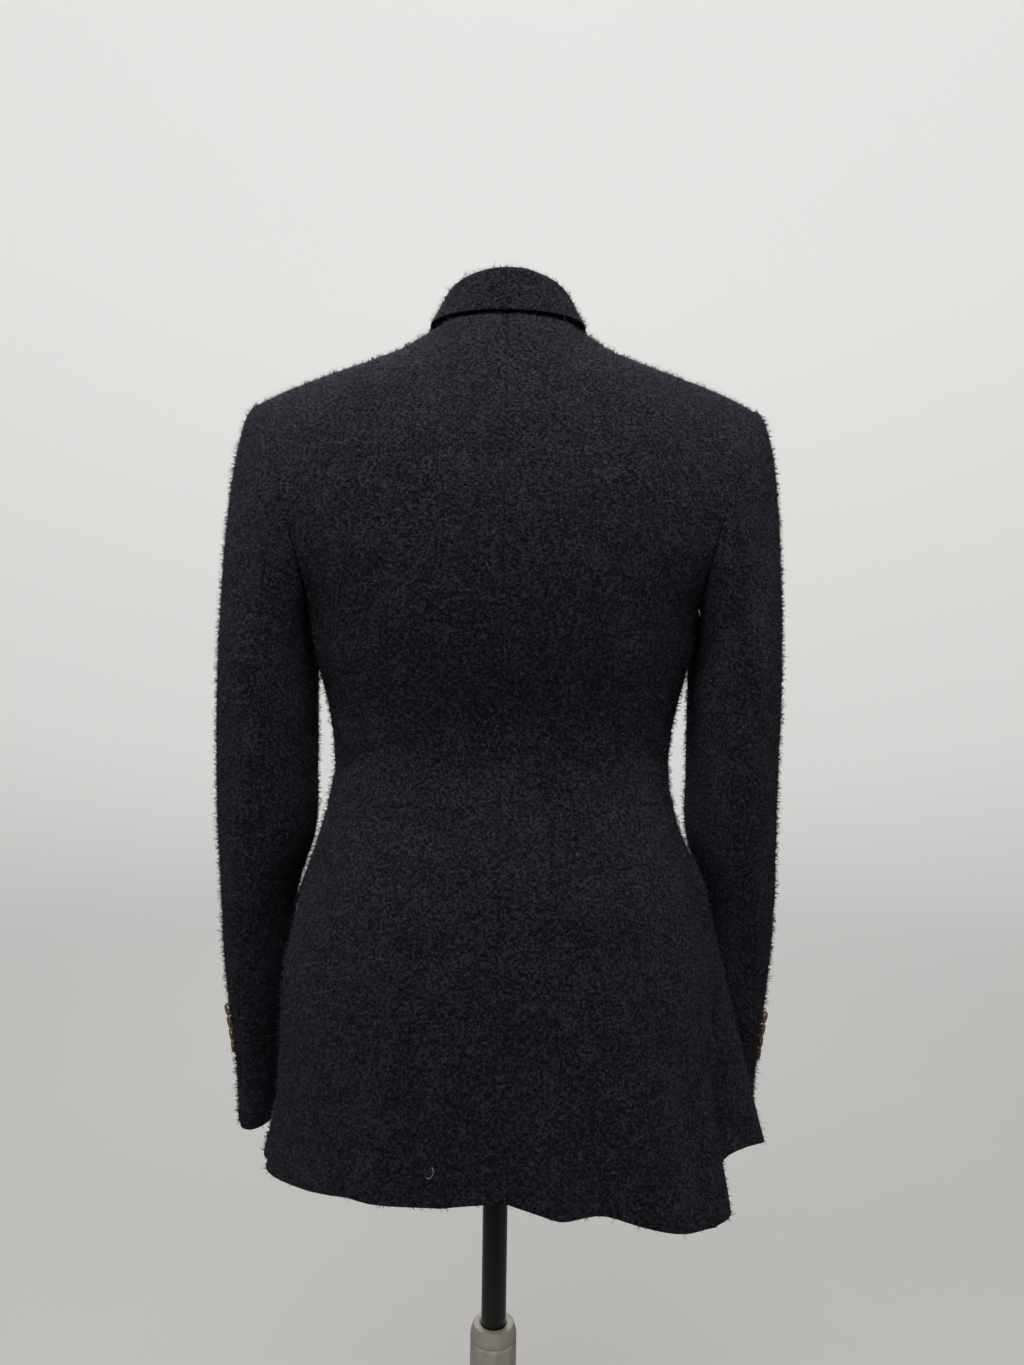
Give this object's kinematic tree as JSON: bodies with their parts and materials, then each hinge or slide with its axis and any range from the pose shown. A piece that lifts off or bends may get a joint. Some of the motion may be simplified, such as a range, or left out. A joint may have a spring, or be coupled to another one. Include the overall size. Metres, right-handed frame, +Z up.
{
  "type": "blazer on a dress form",
  "caption": "Fitted boucle wool blazer, buttoned, worn by a limbless dress form on a height-adjustable pole stand with a round base.",
  "frame": {"origin": "middle of the base plate's underside, on the floor", "axes": "+Z up along the pole; the blazer's front faces -Y and its left sleeve is on +X"},
  "size_m": [0.4936, 0.344, 1.478],
  "materials": {
    "boucle_cloth": "hairy looped wool, matt",
    "form_shell": "smooth satin black",
    "button_metal": "satin, darkened in the hollows",
    "clamp_plastic": "moulded, slightly yellowed",
    "stand_metal": "gloss black"
  },
  "bodies": {
    "stand": {"base_plate": "stand_metal", "stand_tube": "stand_metal", "clamp_grip": "clamp_plastic", "clamp_rim": "clamp_plastic"},
    "form": {"back_left": "boucle_cloth", "back_right": "boucle_cloth", "collar": "boucle_cloth", "cuff_button_left_1": "button_metal", "cuff_button_left_2": "button_metal", "cuff_button_left_3": "button_metal", "cuff_button_left_4": "button_metal", "cuff_button_right_1": "button_metal", "cuff_button_right_2": "button_metal", "cuff_button_right_3": "button_metal", "cuff_button_right_4": "button_metal", "form_torso": "form_shell", "front_button_1": "button_metal", "front_button_2": "button_metal", "front_left": "boucle_cloth", "front_right": "boucle_cloth", "lapel_left": "boucle_cloth", "lapel_right": "boucle_cloth", "neck_cap": "form_shell", "pocket_flap_left": "boucle_cloth", "pocket_flap_right": "boucle_cloth", "pole": "stand_metal", "side_left": "boucle_cloth", "side_right": "boucle_cloth", "under_sleeve_left": "boucle_cloth", "under_sleeve_right": "boucle_cloth", "upper_sleeve_left": "boucle_cloth", "upper_sleeve_right": "boucle_cloth"}
  },
  "joints": [
    {"name": "height", "type": "slide", "parent": "stand", "child": "form", "axis": [0, 0, 1], "range_m": [-0.12, 0.16]}
  ]
}
